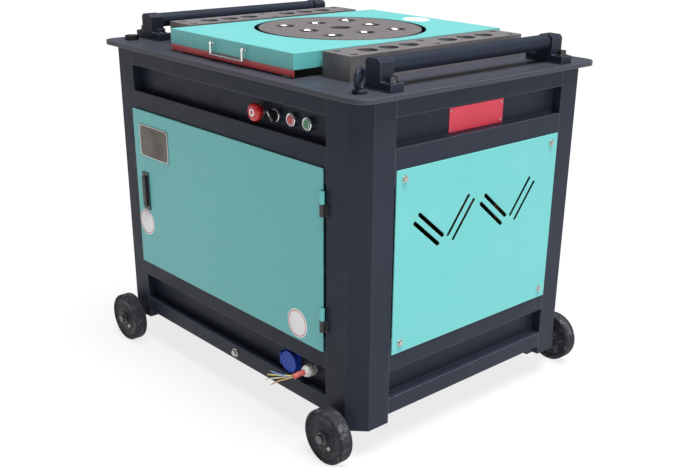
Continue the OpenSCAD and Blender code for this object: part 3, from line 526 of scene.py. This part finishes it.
# ---------- bright bushes in the pin holes of the disc ----------
PITCH = 97 * MM
HOLE_R = 23 * MM
top = cover_hi.z
tilt = math.radians(-3)
bm = bmesh.new()
for i in (-1, 0, 1):
    for j in (-1, 0, 1):
        if i == 0 and j == 0:
            continue
        x = PITCH * (i * math.cos(tilt) - j * math.sin(tilt))
        y = PITCH * (i * math.sin(tilt) + j * math.cos(tilt))
        lathe(bm, [(HOLE_R - 0.0002, -0.034), (HOLE_R - 0.0012, -0.033),
                   (HOLE_R - 0.0012, -0.003), (HOLE_R + 0.0022, 0.0003),
                   (HOLE_R + 0.0026, 0.0001), (HOLE_R, -0.0008)], (x, y, top))
add_piece("disc_hole_bushes", bm, "disc", bright_steel)

# ---------- controls ----------
BEZELS_X = (190, 244, 298)
ESTOP_SEAT = (0.136, -0.3425)
knob_lo, knob_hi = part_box("selector_knob")
knob = (knob_lo + knob_hi) / 2
bm = bmesh.new()
spin = Matrix.Translation((knob.x, knob_lo.y, knob.z)) @ Matrix.Rotation(math.radians(45), 4, "Y")
block(bm, (-0.0125, -0.0006, -0.0012), (0.0, 0.0006, 0.0012), 0.0003, spin)
add_piece("selector_mark", bm, "selector", white_plastic)
for body, lens, slot in (("stop", red_plastic, "red_plastic"),
                         ("start", green_plastic, "green_plastic")):
    lo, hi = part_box(body + "_button")
    mid = (lo + hi) / 2
    bm = bmesh.new()
    lathe(bm, [(0, 0.0014), (0.006, 0.0012), (0.0092, 0.0004), (0.0095, -0.0005)],
          (mid.x, lo.y, mid.z), (0, -1, 0), 32)
    add_piece(body + "_lens", bm, body, lens)
    bm = bmesh.new()
    lathe(bm, [(0.0090, -0.0004), (0.0090, 0.0007), (0.0098, 0.0010), (0.0106, 0.0006),
               (0.0107, -0.0004)], (mid.x, lo.y, mid.z), (0, -1, 0), 40)
    add_piece(body + "_ring", bm, body, white_plastic)
estop_lo, estop_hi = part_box("estop_button")
estop = (estop_lo + estop_hi) / 2
bm = bmesh.new()
lathe(bm, [(0.0048, -0.0004), (0.0050, 0.0004), (0.0080, 0.0003), (0.0084, -0.0006)],
      (estop.x, estop_lo.y, estop.z), (0, -1, 0), 40)
add_piece("estop_ring", bm, "estop", vinyl)
bezel_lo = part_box("control_bezels")[0]
bm = bmesh.new()
for x in BEZELS_X:
    lathe(bm, [(0.0115, 0.0), (0.0115, 0.0012), (0.0132, 0.0018), (0.0148, 0.0010), (0.0152, -0.001)],
          (x * MM, bezel_lo.y, knob.z), (0, -1, 0), 48)
add_piece("bezel_rims", bm, "cabinet", chrome)
bm = bmesh.new()
lathe(bm, [(0.0155, 0.0), (0.0205, 0.0), (0.0215, 0.0006), (0.0215, 0.0014), (0.0155, 0.0014)],
      (*ESTOP_SEAT, knob.z), (0, -1, 0), 48)
add_piece("estop_collar", bm, "cabinet", seal_rubber)

# ---------- wheels ----------
WHEEL_X, WHEEL_FACE, WHEEL_Z = 0.428, 0.4175, 0.065
for body, sx, sy in (("wheel_fl", -1, -1), ("wheel_fr", 1, -1),
                     ("wheel_rl", -1, 1), ("wheel_rr", 1, 1)):
    centre = Vector((sx * WHEEL_X, sy * WHEEL_FACE, WHEEL_Z))
    out = (0, sy, 0)
    bm = bmesh.new()
    lathe(bm, [(0.0545, -0.0020), (0.0545, 0.0006), (0.0532, 0.0012), (0.0515, 0.0006),
               (0.0400, 0.0004), (0.0385, -0.0002), (0.0370, 0.0004), (0.0215, 0.0004),
               (0.0190, 0.0008), (0.0172, 0.0028), (0.0150, 0.0028), (0.0150, -0.0010)],
          centre, out, 72)
    add_piece(body + "_disc_face", bm, body, hub_black)
    bm = bmesh.new()
    spot = centre + Vector((0.018, sy * 0.0004, -0.020))
    lathe(bm, [(0, 0.0010), (0.0012, 0.0012), (0.0030, 0.0030), (0.0042, 0.0022), (0.0048, 0.0004),
               (0.0048, -0.001)], spot, out, 28)
    add_piece(body + "_plug_screw", bm, body, zinc)

# ---------- welds ----------
POST_CHAMFER = 0.0385
POST_LEG_X, POST_LEG_Y = 0.096, 0.092
PROUD = 0.0003
SPOT_FROM, SPOT_TO, SPOT_INSET = 0.213, 0.229, 0.0048
weld_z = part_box("table_plate")[0].z - 0.0015
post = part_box("corner_posts")[1]
bm = bmesh.new()
for sx in (-1, 1):
    for sy in (-1, 1):
        outline = [(post.x - POST_LEG_X, post.y), (post.x - POST_CHAMFER, post.y),
                   (post.x, post.y - POST_CHAMFER), (post.x, post.y - POST_LEG_Y)]
        corners = [Vector((sx * (x + PROUD), sy * (y + PROUD), weld_z)) for x, y in outline]
        for a, b in zip(corners, corners[1:]):
            tube(bm, between(a, b, 26), 0.0017, 8, 0.5)
spot_x, spot_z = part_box("table_plate")[1].x - SPOT_INSET, weld_z + 0.006
tube(bm, between((spot_x, SPOT_FROM, spot_z), (spot_x, SPOT_TO, spot_z), 10), 0.0032, 8, 0.6)
add_piece("post_welds", bm, "cabinet", charcoal, 60)

BRACKET_T, BRACKET_HALF = 0.036, 0.051
feet_lo, feet_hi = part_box("roller_brackets")
base_z = feet_lo.z + 0.001
bm = bmesh.new()
for side_name in ("roller_left", "roller_right"):
    lo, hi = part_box(side_name)
    x = (lo.x + hi.x) / 2
    for y in (feet_lo.y, feet_lo.y + BRACKET_T, feet_hi.y - BRACKET_T, feet_hi.y):
        ends = (x - BRACKET_HALF, y, base_z), (x + BRACKET_HALF, y, base_z)
        tube(bm, between(*ends, 24), 0.0018, 8, 0.5)
add_piece("bracket_welds", bm, "cabinet", charcoal, 60)

# ---------- cabinet wiring behind the door ----------
LEADS, LEAD_R, LEAD_PITCH = 5, 0.004, 0.035
LEAD_BENDS = (0, 0, 0), (0, 0, 0.03), (0.02, 0.03, 0.07), (0.10, 0.08, 0.10)
box_lo, box_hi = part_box("electrical_box")
bm = bmesh.new()
for i in range(LEADS):
    start = Vector((box_lo.x + 0.03 + LEAD_PITCH * i, box_lo.y + 0.06, box_hi.z))
    a, b, c, d = (start + Vector(v) for v in LEAD_BENDS)
    tube(bm, [a.lerp(b, t).lerp(c.lerp(d, t), t) for t in (k / 14 for k in range(15))], LEAD_R, 10)
add_piece("control_leads", bm, "cabinet", belt_rubber)

# ---------- light and floor ----------
SKY, KEY_POWER, SIDE_POWER, FLOOR_GLOW, FLOOR_HALF = 0.16, 6.2, 19, 0.80, 30
world = bpy.data.worlds.new("studio")
scene.world = world
world.use_nodes = True
background = world.node_tree.nodes["Background"]
background.inputs[0].default_value = (1.0, 1.0, 1.0, 1)
background.inputs[1].default_value = SKY


def soft_sun(name, towards, strength, spread, colour=(1, 1, 1)):
    light = bpy.data.lights.new(name, "SUN")
    light.energy = strength
    light.angle = math.radians(spread)
    light.color = colour
    lamp = bpy.data.objects.new(name, light)
    scene.collection.objects.link(lamp)
    lamp.rotation_euler = (-Vector(towards)).to_track_quat("-Z", "Y").to_euler()


def soft_panel(name, place, aim, size, power):
    light = bpy.data.lights.new(name, "AREA")
    light.shape = "RECTANGLE"
    light.size, light.size_y = size
    light.energy = power
    lamp = bpy.data.objects.new(name, light)
    scene.collection.objects.link(lamp)
    lamp.visible_camera = False
    lamp.location = place
    lamp.rotation_euler = (Vector(aim) - Vector(place)).to_track_quat("-Z", "Y").to_euler()


soft_sun("key", (0.45, 0.10, 1.90), KEY_POWER, 34, (1.0, 0.995, 0.985))
soft_panel("side", (2.7, -0.3, 1.0), (0.3, 0.2, 0.5), (1.4, 1.0), SIDE_POWER)
bm = bmesh.new()
bmesh.ops.create_grid(bm, x_segments=2, y_segments=2, size=FLOOR_HALF)
floor_mesh = bpy.data.meshes.new("floor")
bm.to_mesh(floor_mesh)
bm.free()
floor = bpy.data.objects.new("floor", floor_mesh)
scene.collection.objects.link(floor)
g = Graph("floor")
pale = g.mix(g.fit(g.noise(1.5, 3), 0.3, 0.7), (0.10, 0.10, 0.10), (0.095, 0.095, 0.096))
floor_mesh.materials.append(g.finish(Base_Color=pale, Roughness=0.8, Emission_Color=(1.0, 1.0, 1.0),
                                     Emission_Strength=FLOOR_GLOW))
